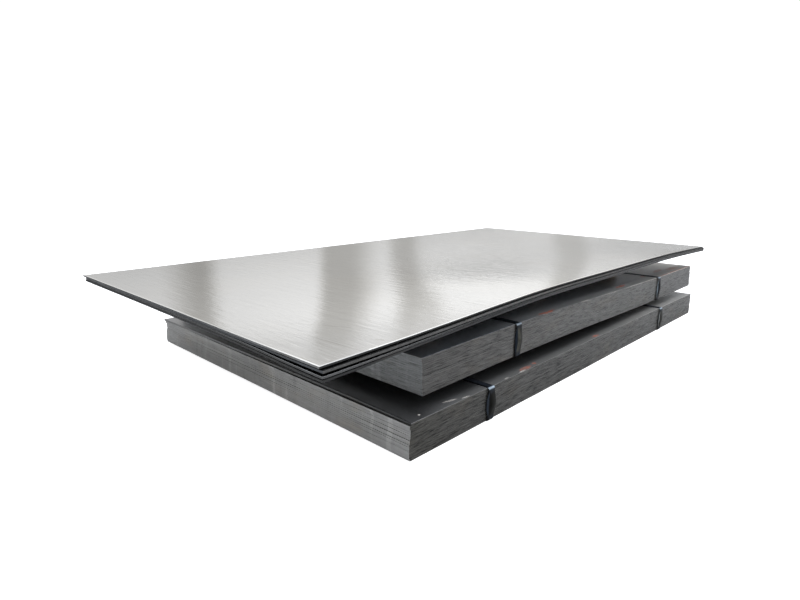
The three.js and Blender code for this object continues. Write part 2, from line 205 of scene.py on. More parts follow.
# ---- materials -----------------------------------------------------------------------------------------------------
class Nodes:
    """Short ways to wire shader nodes. A value may be a number, a colour or another node's output."""

    def __init__(self, tree):
        self.tree = tree

    def node(self, kind, **props):
        n = self.tree.nodes.new(kind)
        for key, value in props.items():
            setattr(n, key, value)
        return n

    def put(self, socket, value):
        if isinstance(value, bpy.types.NodeSocket):
            self.tree.links.new(value, socket)
        elif value is not None:
            socket.default_value = value

    def math(self, op, a, b=None, c=None, clamp=False):
        n = self.node("ShaderNodeMath", operation=op, use_clamp=clamp)
        for i, v in enumerate((a, b, c)):
            if v is not None:
                self.put(n.inputs[i], v)
        return n.outputs[0]

    def add(self, a, b):
        return self.math("ADD", a, b)

    def mul(self, a, b):
        return self.math("MULTIPLY", a, b)

    def sub(self, a, b):
        return self.math("SUBTRACT", a, b)

    def range(self, value, a, b, c=0.0, d=1.0, smooth=True):
        n = self.node("ShaderNodeMapRange", interpolation_type="SMOOTHSTEP" if smooth else "LINEAR")
        for i, v in enumerate((value, a, b, c, d)):
            self.put(n.inputs[i], v)
        return n.outputs[0]

    def mix(self, factor, a, b, blend="MIX"):
        n = self.node("ShaderNodeMix", data_type="RGBA", blend_type=blend)
        self.put(n.inputs[0], factor)
        self.put(n.inputs[6], a)
        self.put(n.inputs[7], b)
        return n.outputs[2]

    def noise(self, vector, scale=1.0, detail=3.0, rough=0.55, warp=0.0, kind="FBM"):
        n = self.node("ShaderNodeTexNoise", noise_dimensions="3D")
        self.put(n.inputs["Vector"], vector)
        self.put(n.inputs["Scale"], scale)
        self.put(n.inputs["Detail"], detail)
        self.put(n.inputs["Roughness"], rough)
        self.put(n.inputs["Distortion"], warp)
        return n.outputs["Fac"]

    def scaled(self, vector, sx, sy, sz, move=(0, 0, 0), turn=0.0):
        n = self.node("ShaderNodeMapping")
        self.put(n.inputs["Vector"], vector)
        n.inputs["Location"].default_value = move
        n.inputs["Rotation"].default_value = (0, 0, turn)
        n.inputs["Scale"].default_value = (sx, sy, sz)
        return n.outputs[0]

    def bump(self, height, distance, strength=1.0, normal=None):
        n = self.node("ShaderNodeBump")
        self.put(n.inputs["Height"], height)
        n.inputs["Strength"].default_value = strength
        n.inputs["Distance"].default_value = distance
        if normal is not None:
            self.put(n.inputs["Normal"], normal)
        return n.outputs[0]

    def spot(self, xyz, centre, radii, soft=0.5, turn=0.0):
        """1 inside an ellipse in plan and 0 outside it."""
        x, y = xyz[0], xyz[1]
        dx, dy = self.sub(x, centre[0]), self.sub(y, centre[1])
        if turn:
            c, s = math.cos(turn), math.sin(turn)
            dx, dy = self.add(self.mul(dx, c), self.mul(dy, s)), self.sub(self.mul(dy, c), self.mul(dx, s))
        d = self.add(self.math("POWER", self.math("ABSOLUTE", self.mul(dx, 1 / radii[0])), 2), self.math("POWER", self.math("ABSOLUTE", self.mul(dy, 1 / radii[1])), 2))
        return self.range(d, 1 - soft, 1 + soft, 1.0, 0.0)


def material(name):
    m = bpy.data.materials.new(name)
    m.use_nodes = True
    m.node_tree.nodes.clear()
    N = Nodes(m.node_tree)
    out = N.node("ShaderNodeOutputMaterial")
    p = N.node("ShaderNodeBsdfPrincipled")
    m.node_tree.links.new(p.outputs[0], out.inputs[0])
    coord = N.node("ShaderNodeTexCoord").outputs["Object"]
    split = N.node("ShaderNodeSeparateXYZ")
    m.node_tree.links.new(coord, split.inputs[0])
    return m, N, p, coord, split.outputs


def rgb(r, g, b):
    return (r, g, b, 1.0)


def mill_face(name, base=(0.62, 0.62, 0.617), rough=0.2, marks=(), rust=(), pale=(), lines=(), dust=None, metal=1.0, streak=1.0, relief=0.00062, bold=None, film=0.86):
    """A plate's rolled face: fine ridges across the plate, soft mottling, a thin oil film, and whatever lies on it.
    dust is (y, width, x0, x1, far): a film of dust along the front edge, which is at y, coming in from x0 to x1; past far it
    spreads over the whole face. base may be a list of (x, colour) stops, and bold is (x0, x1, low, high) for the ridges."""
    m, N, p, P, xyz = material(name)
    streaks = N.noise(N.scaled(P, 54, 5.0, 30), 1.0, 4, 0.58, 0.25)
    fine = N.noise(N.scaled(P, 230, 20, 60), 1.0, 3, 0.6)
    speck = N.noise(N.scaled(P, 120, 46, 60), 1.0, 3, 0.65)
    cloud = N.noise(N.scaled(P, 3.1, 2.2, 3), 1.0, 4, 0.55, 0.4)
    patch = N.noise(N.scaled(P, 13, 7, 9), 1.0, 5, 0.62, 0.8)
    where = N.range(N.noise(N.scaled(P, 1.7, 1.3, 2, (0.4, 0.2, 0)), 1.0, 3, 0.5), 0.40, 0.62, 0.55, 1.45)
    grain = N.add(N.mul(N.sub(streaks, 0.5), 0.12 * streak), N.add(N.mul(N.sub(fine, 0.5), 0.11 * streak), N.mul(N.sub(speck, 0.5), 0.07 * streak)))
    tone = N.add(N.mul(grain, where), N.add(N.mul(N.sub(cloud, 0.5), 0.06), N.mul(N.sub(patch, 0.5), 0.07)))
    start = along(N, xyz[0], base) if isinstance(base, list) else rgb(*base)
    colour = N.mix(1.0, start, N.add(1.0, tone), "MULTIPLY")
    warm = N.range(cloud, 0.42, 0.62)
    colour = N.mix(N.mul(warm, 0.25), colour, N.mix(1.0, colour, rgb(1.0, 0.98, 0.945), "MULTIPLY"))
    roughness = N.add(rough, N.add(N.mul(N.sub(patch, 0.5), 0.06), N.mul(N.sub(streaks, 0.5), 0.05)))
    ridge = N.noise(N.scaled(P, 120, 12, 40), 1.0, 3, 0.55, 0.35)
    broken = N.noise(N.scaled(P, 85, 34, 40), 1.0, 3, 0.6, 0.5)
    height = N.add(N.mul(streaks, 0.80), N.add(N.mul(fine, 0.12), N.add(N.mul(patch, 0.55), N.add(N.mul(ridge, 0.3), N.mul(broken, 0.16)))))
    if bold:
        height = N.mul(height, N.range(xyz[0], *bold))

    def spots(places, size=60, spread=0.03, soft=0.35):
        wob = N.mul(N.sub(N.noise(N.scaled(P, size, size, 10), 1.0, 3), 0.5), spread)
        W = (N.add(xyz[0], wob), N.add(xyz[1], N.mul(wob, 0.8)))
        total = None
        for cx, cy, ra, rb, t, k in places:
            s = N.mul(N.spot(W, (cx, cy), (ra, rb), soft, t), k)
            total = s if total is None else N.math("MAXIMUM", total, s)
        return total

    metallic = metal
    if marks:
        total = spots(marks)
        colour = N.mix(total, colour, N.mix(1.0, colour, rgb(0.80, 0.79, 0.76), "MULTIPLY"))
        roughness = N.add(roughness, N.mul(total, 0.10))
    if lines:
        total = None
        for x0, y0, x1, y1, wide, k in lines:
            half = math.hypot(x1 - x0, y1 - y0) / 2
            s = N.mul(N.spot(xyz, ((x0 + x1) / 2, (y0 + y1) / 2), (half, wide / 2), 0.6, math.atan2(y1 - y0, x1 - x0)), k)
            total = s if total is None else N.math("MAXIMUM", total, s)
        total = N.mul(total, N.range(patch, 0.35, 0.6, 0.5, 1.0))
        colour = N.mix(total, colour, N.mix(1.0, colour, rgb(0.72, 0.71, 0.68), "MULTIPLY"))
    if dust:
        y0, width, x0, x1, far = dust
        edge = N.add(N.sub(xyz[1], y0), N.mul(N.sub(N.noise(N.scaled(P, 5, 12, 9), 1.0, 3, 0.5), 0.5), width * 0.5))
        total = N.mul(N.range(edge, 0.0, width * 1.6, film, 0.0), N.range(xyz[0], x0, x1, 0.12, 1.0))
        total = N.math("MAXIMUM", total, N.range(xyz[0], far - 0.35, far + 0.35, 0.0, 0.82))
        total = N.mul(total, N.range(speck, 0.2, 0.6, 0.85, 1.0))
        # the film is dust; its colour lightening about threefold from the near end to the far end is painted light
        colour = N.mix(total, colour, along(N, xyz[0], [(-1.2, (0.088, 0.086, 0.079)), (-0.4, (0.12, 0.117, 0.108)), (0.5, (0.20, 0.192, 0.18)), (1.3, (0.27, 0.26, 0.245))]))
        roughness = N.add(roughness, N.mul(total, 0.35))
        metallic = N.mul(N.sub(1.0, total), metallic)
    if rust:
        grit = N.noise(N.scaled(P, 160, 220, 50), 1.0, 4, 0.65)
        total = N.mul(spots(rust, 45, 0.03, 0.7), N.range(grit, 0.36, 0.52))
        colour = N.mix(total, colour, N.mix(grit, rgb(0.60, 0.16, 0.095), rgb(0.34, 0.125, 0.08)))
        roughness = N.add(roughness, N.mul(total, 0.35))
        metallic = N.mul(metallic, N.sub(1.0, total))
    # pale marks: whitish spots on the lower top; on the upper top, painted highlights along the front arris
    if pale:
        grit = N.noise(N.scaled(P, 240, 400, 50), 1.0, 3, 0.6)
        total = N.mul(spots(pale, 90, 0.005, 0.5), N.range(grit, 0.33, 0.50))
        colour = N.mix(total, colour, rgb(0.78, 0.74, 0.68))
        metallic = N.mul(metallic, N.sub(1.0, total))
    N.put(p.inputs["Base Color"], colour)
    N.put(p.inputs["Roughness"], N.math("MAXIMUM", roughness, 0.05))
    N.put(p.inputs["Metallic"], metallic)
    N.put(p.inputs["Normal"], N.bump(height, relief, 1.0))
    return m


def along(N, value, stops):
    """A colour that changes along the object: stops is (place in metres, colour)."""
    lo_, hi_ = stops[0][0], stops[-1][0]
    ramp = N.node("ShaderNodeValToRGB")
    while len(ramp.color_ramp.elements) < len(stops):
        ramp.color_ramp.elements.new(0.5)
    for e, (place, c) in zip(ramp.color_ramp.elements, stops):
        e.position = (place - lo_) / (hi_ - lo_)
        e.color = rgb(*c)
    N.put(ramp.inputs[0], N.range(value, lo_, hi_, 0, 1, smooth=False))
    return ramp.outputs[0]


def edge_face(name, stops, axis=0, rough=0.48, metal=0.8, upright=0.0, dash=1.0, hatch=0.0, dull=None):
    """A sheared edge: short uneven dashes along the plate, tone that shifts from plate to plate, dirt in places.
    stops gives its colour along axis, upright the strength of pale patches that run down a stack, hatch of slanted
    shear marks,
    and dull is (x0, x1): from x0 to x1 its shine goes, a painted shade that darkens the edge."""
    m, N, p, P, xyz = material(name)
    dashes = N.noise(N.scaled(P, 22, 22, 260), 1.0, 3, 0.6, 0.25)
    dashes2 = N.noise(N.scaled(P, 11, 11, 420), 1.0, 3, 0.6, 0.2)
    plates = N.noise(N.scaled(P, 1.6, 1.6, 95), 1.0, 3, 0.55, 0.2)
    drag = N.noise(N.scaled(P, 240, 240, 26), 1.0, 3, 0.6)
    cloud = N.noise(N.scaled(P, 4.0, 4.0, 9), 1.0, 3, 0.5)
    start = along(N, xyz[axis], stops)
    dark = N.add(N.mul(N.range(dashes, 0.52, 0.64), 0.40 * dash), N.mul(N.range(dashes2, 0.54, 0.66), 0.30 * dash))
    light = N.add(N.mul(N.range(dashes, 0.46, 0.34), 0.20 * dash), N.mul(N.range(dashes2, 0.42, 0.32), 0.14 * dash))
    tone = N.add(N.mul(N.sub(plates, 0.5), 0.46), N.add(N.mul(N.sub(drag, 0.5), 0.20), N.add(N.mul(N.sub(cloud, 0.5), 0.28), N.sub(light, dark))))
    if upright:
        stand = N.noise(N.scaled(P, 26, 26, 2.2), 1.0, 3, 0.6, 0.1)
        tone = N.add(tone, N.mul(N.range(stand, 0.55, 0.72), 0.42 * upright))
        tone = N.sub(tone, N.mul(N.range(stand, 0.45, 0.30), 0.14 * upright))
    height = N.add(N.mul(dashes, 0.8), N.mul(drag, 0.4))
    if hatch:
        slant = N.noise(N.scaled(P, 420, 420, 90), 1.0, 2, 0.6, 0.4)
        tone = N.add(tone, N.mul(N.sub(slant, 0.5), hatch * 1.3))
        height = N.add(height, N.mul(slant, 0.6))
    colour = N.mix(1.0, start, N.math("MAXIMUM", N.add(1.04, tone), 0.1), "MULTIPLY")
    brown = N.noise(N.scaled(P, 5, 5, 14), 1.0, 3, 0.6)
    colour = N.mix(N.range(brown, 0.5, 0.68, 0.0, 0.4), colour, N.mix(1.0, colour, rgb(1.05, 0.96, 0.84), "MULTIPLY"))
    N.put(p.inputs["Base Color"], colour)
    N.put(p.inputs["Roughness"], N.add(rough, N.mul(N.sub(dashes, 0.5), 0.2)))
    if dull:
        N.put(p.inputs["Metallic"], N.range(xyz[0], dull[0], dull[1], metal, 0.06))
        p.inputs["Specular IOR Level"].default_value = 0.15
    else:
        p.inputs["Metallic"].default_value = metal
    N.put(p.inputs["Normal"], N.bump(height, 0.0003, 1.0))
    return m


def strap_steel(name, stops):
    """Blued strapping. stops gives its colour across the band, from -1 at the edge nearer the plates' near end to 1; on
    the straps they paint the band's shadow on the plates beside it and its reflections.
    """
    m, N, p, P, xyz = material(name)
    n = N.noise(N.scaled(P, 30, 30, 30), 1.0, 4, 0.6)
    blotch = N.noise(N.scaled(P, 75, 75, 38), 1.0, 3, 0.6)
    fine = N.noise(N.scaled(P, 500, 8, 8), 1.0, 3, 0.6)
    tones = N.node("ShaderNodeAttribute", attribute_name="across").outputs["Fac"]
    tones = N.add(tones, N.mul(N.sub(n, 0.5), 0.22))
    ramp = along(N, tones, stops)
    face = N.node("ShaderNodeAttribute", attribute_name="crowned").outputs["Fac"]
    # plain darkens both edges of the band, the near one most: painted shade
    plain = along(N, tones, [(-1.0, (0.002, 0.0022, 0.003)), (-0.62, (0.003, 0.0035, 0.005)), (-0.4, (0.016, 0.019, 0.025)), (0.7, (0.017, 0.020, 0.026)), (0.95, (0.005, 0.006, 0.008))])
    colour = N.mix(face, plain, ramp)
    colour = N.mix(N.range(fine, 0.55, 0.8, 0.0, 0.2), colour, N.mix(1.0, colour, rgb(1.7, 1.7, 1.7), "MULTIPLY"))
    colour = N.mix(N.range(blotch, 0.46, 0.66, 0.0, 0.75), colour, N.mix(1.0, colour, rgb(0.42, 0.40, 0.36), "MULTIPLY"))
    wear_and_highlight = N.node("ShaderNodeAttribute", attribute_name="wear_and_highlight").outputs["Fac"]
    wear_and_highlight = N.mul(wear_and_highlight, N.range(n, 0.3, 0.6, 0.6, 1.0))
    # rubbed bare steel, its pale blue also a painted highlight
    colour = N.mix(wear_and_highlight, colour, rgb(0.42, 0.50, 0.58))
    N.put(p.inputs["Base Color"], colour)
    N.put(p.inputs["Roughness"], N.add(0.36, N.mul(n, 0.16)))
    N.put(p.inputs["Metallic"], wear_and_highlight)
    p.inputs["Specular IOR Level"].default_value = 0.05
    N.put(p.inputs["Normal"], N.bump(fine, 0.0002, 0.6))
    return m


def timber():
    """Sawn softwood: "wood" holds each point's place in its own batten, its length along the second axis."""
    m, N, p, P, xyz = material("batten_timber")
    local = N.node("ShaderNodeAttribute", attribute_name="wood").outputs["Vector"]
    split = N.node("ShaderNodeSeparateXYZ")
    N.put(split.inputs[0], local)
    wx, wy, wz = split.outputs
    drift = N.noise(N.scaled(local, 9, 1.3, 9), 1.0, 3, 0.55)
    ring_r = N.math("SQRT", N.add(N.math("POWER", N.math("ABSOLUTE", N.add(wx, N.mul(N.sub(drift, 0.5), 0.03))), 2), N.math("POWER", N.math("ABSOLUTE", N.add(wz, 0.045)), 2)))
    rings = N.math("SINE", N.mul(N.add(ring_r, N.mul(drift, 0.012)), 1150))
    grain = N.noise(N.scaled(local, 240, 7, 240), 1.0, 4, 0.6, 0.3)
    saw = N.noise(N.scaled(local, 9, 300, 9), 1.0, 2, 0.5)
    stain = N.noise(N.scaled(P, 5, 4, 5), 1.0, 4, 0.6)
    knot = N.noise(N.scaled(local, 13, 4.5, 13), 1.0, 2, 0.4)
    colour = N.mix(N.range(rings, -0.5, 1.0), rgb(0.40, 0.285, 0.175), rgb(0.235, 0.15, 0.085))
    colour = N.mix(N.range(grain, 0.42, 0.7, 0.0, 0.6), colour, rgb(0.17, 0.115, 0.07))
    colour = N.mix(N.range(stain, 0.42, 0.75, 0, 0.7), colour, rgb(0.15, 0.13, 0.112))
    colour = N.mix(N.range(knot, 0.70, 0.76), colour, rgb(0.075, 0.042, 0.025))
    colour = N.mix(N.mul(saw, 0.22), colour, rgb(0.45, 0.36, 0.25))
    N.put(p.inputs["Base Color"], colour)
    N.put(p.inputs["Roughness"], N.add(0.72, N.mul(grain, 0.2)))
    N.put(p.inputs["Normal"], N.bump(N.add(N.mul(grain, 0.7), N.add(N.mul(saw, 0.7), N.mul(rings, 0.08))), 0.0011, 1.0))
    return m


TOP_MARKS = [
    # x, y, half sizes, turn, strength: handling smudges near the near corner
    (-1.507, -0.720, 0.006, 0.026, 0.1, 1.0),
    (-1.471, -0.776, 0.007, 0.006, 0.0, 0.8),
    (-1.279, -0.747, 0.007, 0.014, 0.5, 0.8),
    (-1.237, -0.772, 0.006, 0.005, 0.0, 0.8),
    (-0.375, -0.437, 0.006, 0.006, 0.0, 0.9),
]
TOP_LINES = [
    # ends, width, strength: long faint scratches
    (-0.136, -0.078, 0.749, 0.012, 0.006, 0.5),
    (-1.385, -0.571, -1.370, -0.786, 0.005, 0.45),
    (-1.377, -0.60, -1.352, -0.77, 0.004, 0.3),
    (-1.36, -0.42, -1.23, -0.66, 0.004, 0.45),
    (-0.92, -0.35, -0.70, -0.62, 0.004, 0.3),
]
LOWER_RUST = [(-0.566, -0.770, 0.035, 0.009, 0.0, 0.8), (-0.50, -0.766, 0.010, 0.006, 0.0, 0.8), (0.005, -0.770, 0.026, 0.007, 0.0, 0.8)]
LOWER_PALE = [(-0.931, -0.777, 0.017, 0.003, -0.12, 0.8), (-0.99, -0.760, 0.028, 0.004, -0.2, 0.7), (-0.60, -0.778, 0.02, 0.003, 0.0, 0.8), (-1.134, -0.762, 0.0035, 0.0035, 0.0, 1.0), (-0.70, -0.777, 0.012, 0.003, 0.0, 0.6)]
UPPER_RUST = [(-0.36, -0.727, 0.058, 0.008, 0.0, 1.0), (0.405, -0.702, 0.06, 0.010, 0.05, 0.9), (0.79, -0.668, 0.05, 0.012, 0.2, 0.35), (1.02, -0.662, 0.07, 0.014, 0.1, 0.4), (1.17, -0.690, 0.08, 0.02, 0.0, 0.35), (1.10, -0.731, 0.26, 0.006, 0.0, 0.55), (1.343, -0.55, 0.006, 0.20, 0.0, 0.7)]
# long pale lines along the upper top's front arris: painted highlights
UPPER_PAINTED_HIGHLIGHT = [(0.62, -0.737, 0.26, 0.004, 0.0, 0.8), (1.10, -0.738, 0.24, 0.0045, 0.0, 0.95), (0.20, -0.737, 0.10, 0.003, 0.0, 0.6), (-0.05, -0.735, 0.035, 0.003, 0.0, 0.7)]
face_top1 = mill_face("mill_face_bright", rough=0.085, marks=TOP_MARKS, lines=TOP_LINES, bold=(-1.3, 0.1, 0.9, 1.4))
# loose plates 2 to 4: the same mill steel as plate 1, set darker as painted shade for their ledges under it
face_loose_painted_shade = mill_face("mill_face_loose_painted_shade", base=(0.26, 0.265, 0.27), rough=0.16)
# near-white face colour for loose plate 1's rolled-over arris: a painted highlight
face_rim_painted_highlight = mill_face("mill_face_rim_painted_highlight", base=(0.86, 0.86, 0.85), rough=0.14, streak=0.5)
red_edge = mill_face("mill_face_rusty_edge", base=(0.42, 0.13, 0.08), rough=0.7, metal=0.0)
face_under = mill_face("mill_face_scaled", base=(0.20, 0.205, 0.215), rough=0.42, streak=1.3)
face_bundle = mill_face("mill_face_bundle", base=(0.34, 0.335, 0.32), rough=0.4, streak=1.3)
# the lower top's base colour rises about twofold from the near end to the far end: painted light
face_lower = mill_face("mill_face_lower_top", base=[(-1.2, (0.26, 0.262, 0.27)), (0.15, (0.25, 0.25, 0.25)), (0.7, (0.44, 0.436, 0.425)), (1.1, (0.56, 0.555, 0.545))], rough=0.30, metal=0.94, streak=1.3, rust=LOWER_RUST, pale=LOWER_PALE, dust=(-0.783, 0.034, -1.15, -0.95, 3.0), film=0.62)
# the upper top's base colour rises, falls and rises again along its length and is bluish at the near end: painted light
# and reflection
face_upper = mill_face("mill_face_upper_top", base=[(-1.1, (0.40, 0.43, 0.475)), (0.3, (0.54, 0.56, 0.59)), (0.9, (0.36, 0.35, 0.34)), (1.3, (0.46, 0.44, 0.42))], rough=0.33, metal=0.9, streak=1.3, rust=UPPER_RUST, pale=UPPER_PAINTED_HIGHLIGHT, dust=(-0.737, 0.05, -0.85, -0.25, 3.0), film=0.8)
# the bundles' long edges lighten from the near end toward the far end: painted light
long_lower = edge_face("edge_long_lower", [(-1.2, (0.0690, 0.0662, 0.0585)), (-1.0, (0.0740, 0.0718, 0.0662)), (-0.5, (0.087, 0.0850, 0.0808)), (1.25, (0.114, 0.1125, 0.1085))], dash=1.9)
long_upper = edge_face("edge_long_upper", [(-1.1, (0.0925, 0.0900, 0.0860)), (-0.80, (0.103, 0.1005, 0.0965)), (-0.30, (0.126, 0.1240, 0.1200)), (0.45, (0.128, 0.1275, 0.1225)), (1.3, (0.114, 0.1125, 0.1110))], dash=1.45)
# the lower bundle's short ends are set lighter than the upper bundle's, and lightest in their front half: painted light
short_lower = edge_face("edge_short_lower", [(-0.78, (0.345, 0.341, 0.335)), (-0.35, (0.395, 0.391, 0.382)), (0.05, (0.315, 0.311, 0.303)), (0.7, (0.270, 0.267, 0.260))], axis=1, upright=0.9, dash=0.28)
# the sprung top plate's short end is set darker than the rest of the lower bundle's, darkest at the front: painted
# shade
short_sprung_painted_shade = edge_face("edge_short_sprung_painted_shade", [(-0.78, (0.070, 0.071, 0.071)), (-0.4, (0.10, 0.10, 0.099)), (0.1, (0.18, 0.18, 0.177)), (0.7, (0.16, 0.16, 0.157))], axis=1, dash=0.3)
short_upper = edge_face("edge_short_upper", [(-0.74, (0.208, 0.212, 0.212)), (-0.3, (0.215, 0.217, 0.214)), (0.7, (0.19, 0.19, 0.187))], axis=1, upright=0.8, dash=0.9)


def grey(places, tint=(1.0, 1.0, 1.0)):
    return [(place, tuple(v * t for t in tint)) for place, v in places]


COOL = (0.93, 1.0, 1.08)
# the loose plates' long edges: their colours change three- to tenfold along each edge and their shine goes past DULL,
# painting their light and shade
DULL = (0.3, 0.85)
loose_long = [
    edge_face("edge_long_loose_1", grey([(-1.5, 0.056), (-1.2, 0.056), (-0.9, 0.054), (-0.7, 0.060), (0.0, 0.058), (0.3, 0.042), (0.6, 0.032), (0.9, 0.026), (1.5, 0.020)]), dash=0.5, hatch=0.9, dull=DULL),
    edge_face("edge_long_loose_2", grey([(-1.5, 0.080), (-0.9, 0.104), (-0.6, 0.098), (-0.2, 0.064), (0.3, 0.040), (0.6, 0.036), (0.9, 0.018), (1.5, 0.014)], (1.0, 0.985, 0.96)), dash=0.5, hatch=0.9, dull=DULL),
    edge_face("edge_long_loose_3", grey([(-1.5, 0.100), (-1.1, 0.060), (-0.95, 0.030), (-0.8, 0.010), (-0.6, 0.012), (-0.4, 0.034), (0.3, 0.036), (0.6, 0.044), (0.9, 0.024), (1.5, 0.020)]), dash=0.5, hatch=0.6, dull=DULL),
    edge_face("edge_long_loose_4", grey([(-1.5, 0.034), (-0.9, 0.050), (-0.2, 0.054), (0.3, 0.040), (0.6, 0.018), (0.9, 0.007), (1.5, 0.008)]), dash=0.5, hatch=0.4, dull=DULL),
]
# the loose plates' short edges darken from front to back, up to sixteenfold: painted light and shade
loose_short = [
    edge_face("edge_short_loose_1", [(-0.78, (0.165, 0.165, 0.162)), (-0.6, (0.130, 0.131, 0.131)), (-0.2, (0.046, 0.049, 0.052)), (0.3, (0.024, 0.026, 0.028)), (0.76, (0.010, 0.011, 0.012))], axis=1, dash=0.5, hatch=0.4),
    edge_face("edge_short_loose_2", grey([(-0.78, 0.060), (-0.4, 0.038), (0.2, 0.018), (0.76, 0.010)], COOL), axis=1, dash=0.5, hatch=0.4),
    edge_face("edge_short_loose_3", grey([(-0.78, 0.066), (-0.4, 0.034), (0.2, 0.015), (0.76, 0.009)]), axis=1, dash=0.5, hatch=0.4),
    edge_face("edge_short_loose_4", grey([(-0.78, 0.030), (0.2, 0.010), (0.76, 0.008)]), axis=1, dash=0.5, hatch=0.4),
]
# across each band: on the near straps a slate or navy flank paints the band's shadow on the plates; on the far straps a
# pale stripe between dark lines paints a reflection and that shadow
strap_looks = {
    "lower_near": strap_steel("strap_lower_near", [(-1.0, (0.014, 0.017, 0.022)), (-0.88, (0.024, 0.030, 0.040)), (-0.74, (0.018, 0.022, 0.028)), (-0.66, (0.0035, 0.0035, 0.0032)), (0.2, (0.005, 0.0048, 0.0036)), (0.6, (0.007, 0.0066, 0.005)), (1.0, (0.004, 0.004, 0.0035))]),
    "lower_far": strap_steel("strap_lower_far", [(-1.0, (0.005, 0.007, 0.009)), (-0.94, (0.006, 0.008, 0.010)), (-0.88, (0.16, 0.165, 0.17)), (-0.70, (0.15, 0.155, 0.155)), (-0.62, (0.020, 0.020, 0.017)), (0.5, (0.018, 0.018, 0.015)), (1.0, (0.012, 0.012, 0.011))]),
    "upper_near": strap_steel("strap_upper_near", [(-1.0, (0.008, 0.010, 0.015)), (-0.78, (0.012, 0.017, 0.025)), (-0.64, (0.010, 0.013, 0.019)), (-0.52, (0.060, 0.059, 0.050)), (0.05, (0.052, 0.051, 0.043)), (0.35, (0.027, 0.026, 0.023)), (1.0, (0.014, 0.014, 0.013))]),
    "upper_far": strap_steel("strap_upper_far", [(-1.0, (0.004, 0.005, 0.007)), (-0.94, (0.005, 0.006, 0.009)), (-0.88, (0.18, 0.21, 0.24)), (-0.72, (0.15, 0.18, 0.205)), (-0.63, (0.004, 0.005, 0.007)), (0.5, (0.004, 0.004, 0.005)), (1.0, (0.006, 0.006, 0.006))]),
}
blued = strap_steel("strap_seal_steel", [(-1.0, (0.012, 0.015, 0.02)), (-0.3, (0.014, 0.017, 0.021)), (0.3, (0.02, 0.021, 0.023)), (1.0, (0.012, 0.012, 0.012))])
wood = timber()


def wear(o, *materials):
    for m in materials:
        o.data.materials.append(m)


# ---- bundled plates ------------------------------------------------------------------------------------------------
def bow(x):
    """How far the upper bundle is off its level place, x in mm from its near end."""
    u = x / 2438.0
    return (-9 * u + 2.5 * np.sin(np.pi * u) + 5 * np.sin(2 * np.pi * u)) * MM


def plain_ends(side, ring, along_, across, slot):
    return 2 if side in (1, 3) and slot == 0 else slot


def painted_highlight_rim(side, ring, along_, across, slot):
    """A painted highlight: the rolled-over margin takes a near-white face colour, all round but for the front side's
    two ends.
    """
    if slot != 0 or ring == 0 or (side == 0 and not 0.05 < along_ < 0.74):
        return slot
    return 4


def rusty_foot(side, ring, along_, across, slot):
    return 4 if side == 0 and ring >= 7 and along_ > 0.68 + 0.04 * math.sin(ring * 2.0) else slot


def shaded_foot(side, ring, along_, across, slot):
    return 3 if side == 0 and ring >= 6 else slot


THICK = 6.16 * MM  # the burr under each plate closes most of the air to the next one
for n in sorted(NODES):
    if "_bundle_plate_" not in n:
        continue
    lo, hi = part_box(n)
    number = int(n[-2:])
    lower = n.startswith("lower")
    last = number == (18 if lower else 19)
    seed = number + (0 if lower else 40)
    z0 = (LOWER_Z if lower else UPPER_Z) + (number - 1) * PITCH - (THICK - 6 * MM)
    x0 = lo.x + (8 * MM if lower and last else 0)
    length, width = hi.x - x0 + (1.8 * rnd(seed, 71) + (0 if lower else 6 - 12 * number / 19)) * MM, hi.y - lo.y
    a, b = np.linspace(0, length, 170), np.linspace(0, width, 110)
    rings = TOP_RINGS if last else EDGE_RINGS if lower else OPEN_RINGS
    share = (0.4, 0.1) if last else (0.16, 0.1)

    if lower and last:

        def plan(a, b, x0=x0, lo=lo, width=width):
            # its near end isn't square, and its back corner is pushed out of line
            fade = np.maximum(0, 1 - a / 0.7)
            return x0 + a - (8 * (b / width) + 5 * smoothstep(b, 1.15, 1.53)) * MM * fade, lo.y + b

        def low(a, b, z0=z0, width=width):
            # sprung up along the near short edge
            A, B = (a - 8 * MM * (b / width) * np.maximum(0, 1 - a / 0.7)) / MM, b / MM
            rise = (2 + 3 * np.minimum(1, B / 250) - 1.5 * (B / 1524)) * np.clip(B / 60, 0, 1)
            return z0 + rise * np.exp(-((A / 150) ** 2)) * (1 - smoothstep(A, 250, 330)) * MM

        a = np.concatenate([np.linspace(0, 0.36, 30), np.linspace(0.36, length, 140)[1:]])
        o = plate_mesh("visual_" + n, a, b, plan, lambda a, b, low=low: low(a, b) + THICK, lambda a, b, low=low, z0=z0: z0 + 0.5 * (low(a, b) - z0), seed, "grid", rings, share=share, paint=plain_ends)
    else:
        skew = 11 * MM if lower and number == 1 else 0.0

        def plan(a, b, x0=x0, lo=lo, width=width, skew=skew):
            return x0 + a + skew * (b / width) * np.maximum(0, 1 - a / 0.7), lo.y + b

        def low(a, b, z0=z0, x0=x0, lower=lower):
            return z0 + (0 * a if lower else bow((x0 - OX + a) / MM - UPPER_X))

        o = plate_mesh("visual_" + n, a, b, plan, lambda a, b, low=low: low(a, b) + THICK, low, seed, "strips", rings, share=share, rim=last, paint=plain_ends)
    wear(o, (face_lower if lower else face_upper) if last else face_bundle, *((long_lower, short_sprung_painted_shade if last else short_lower) if lower else (long_upper, short_upper)), face_under)
    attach(o, "root")
    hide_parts(n)

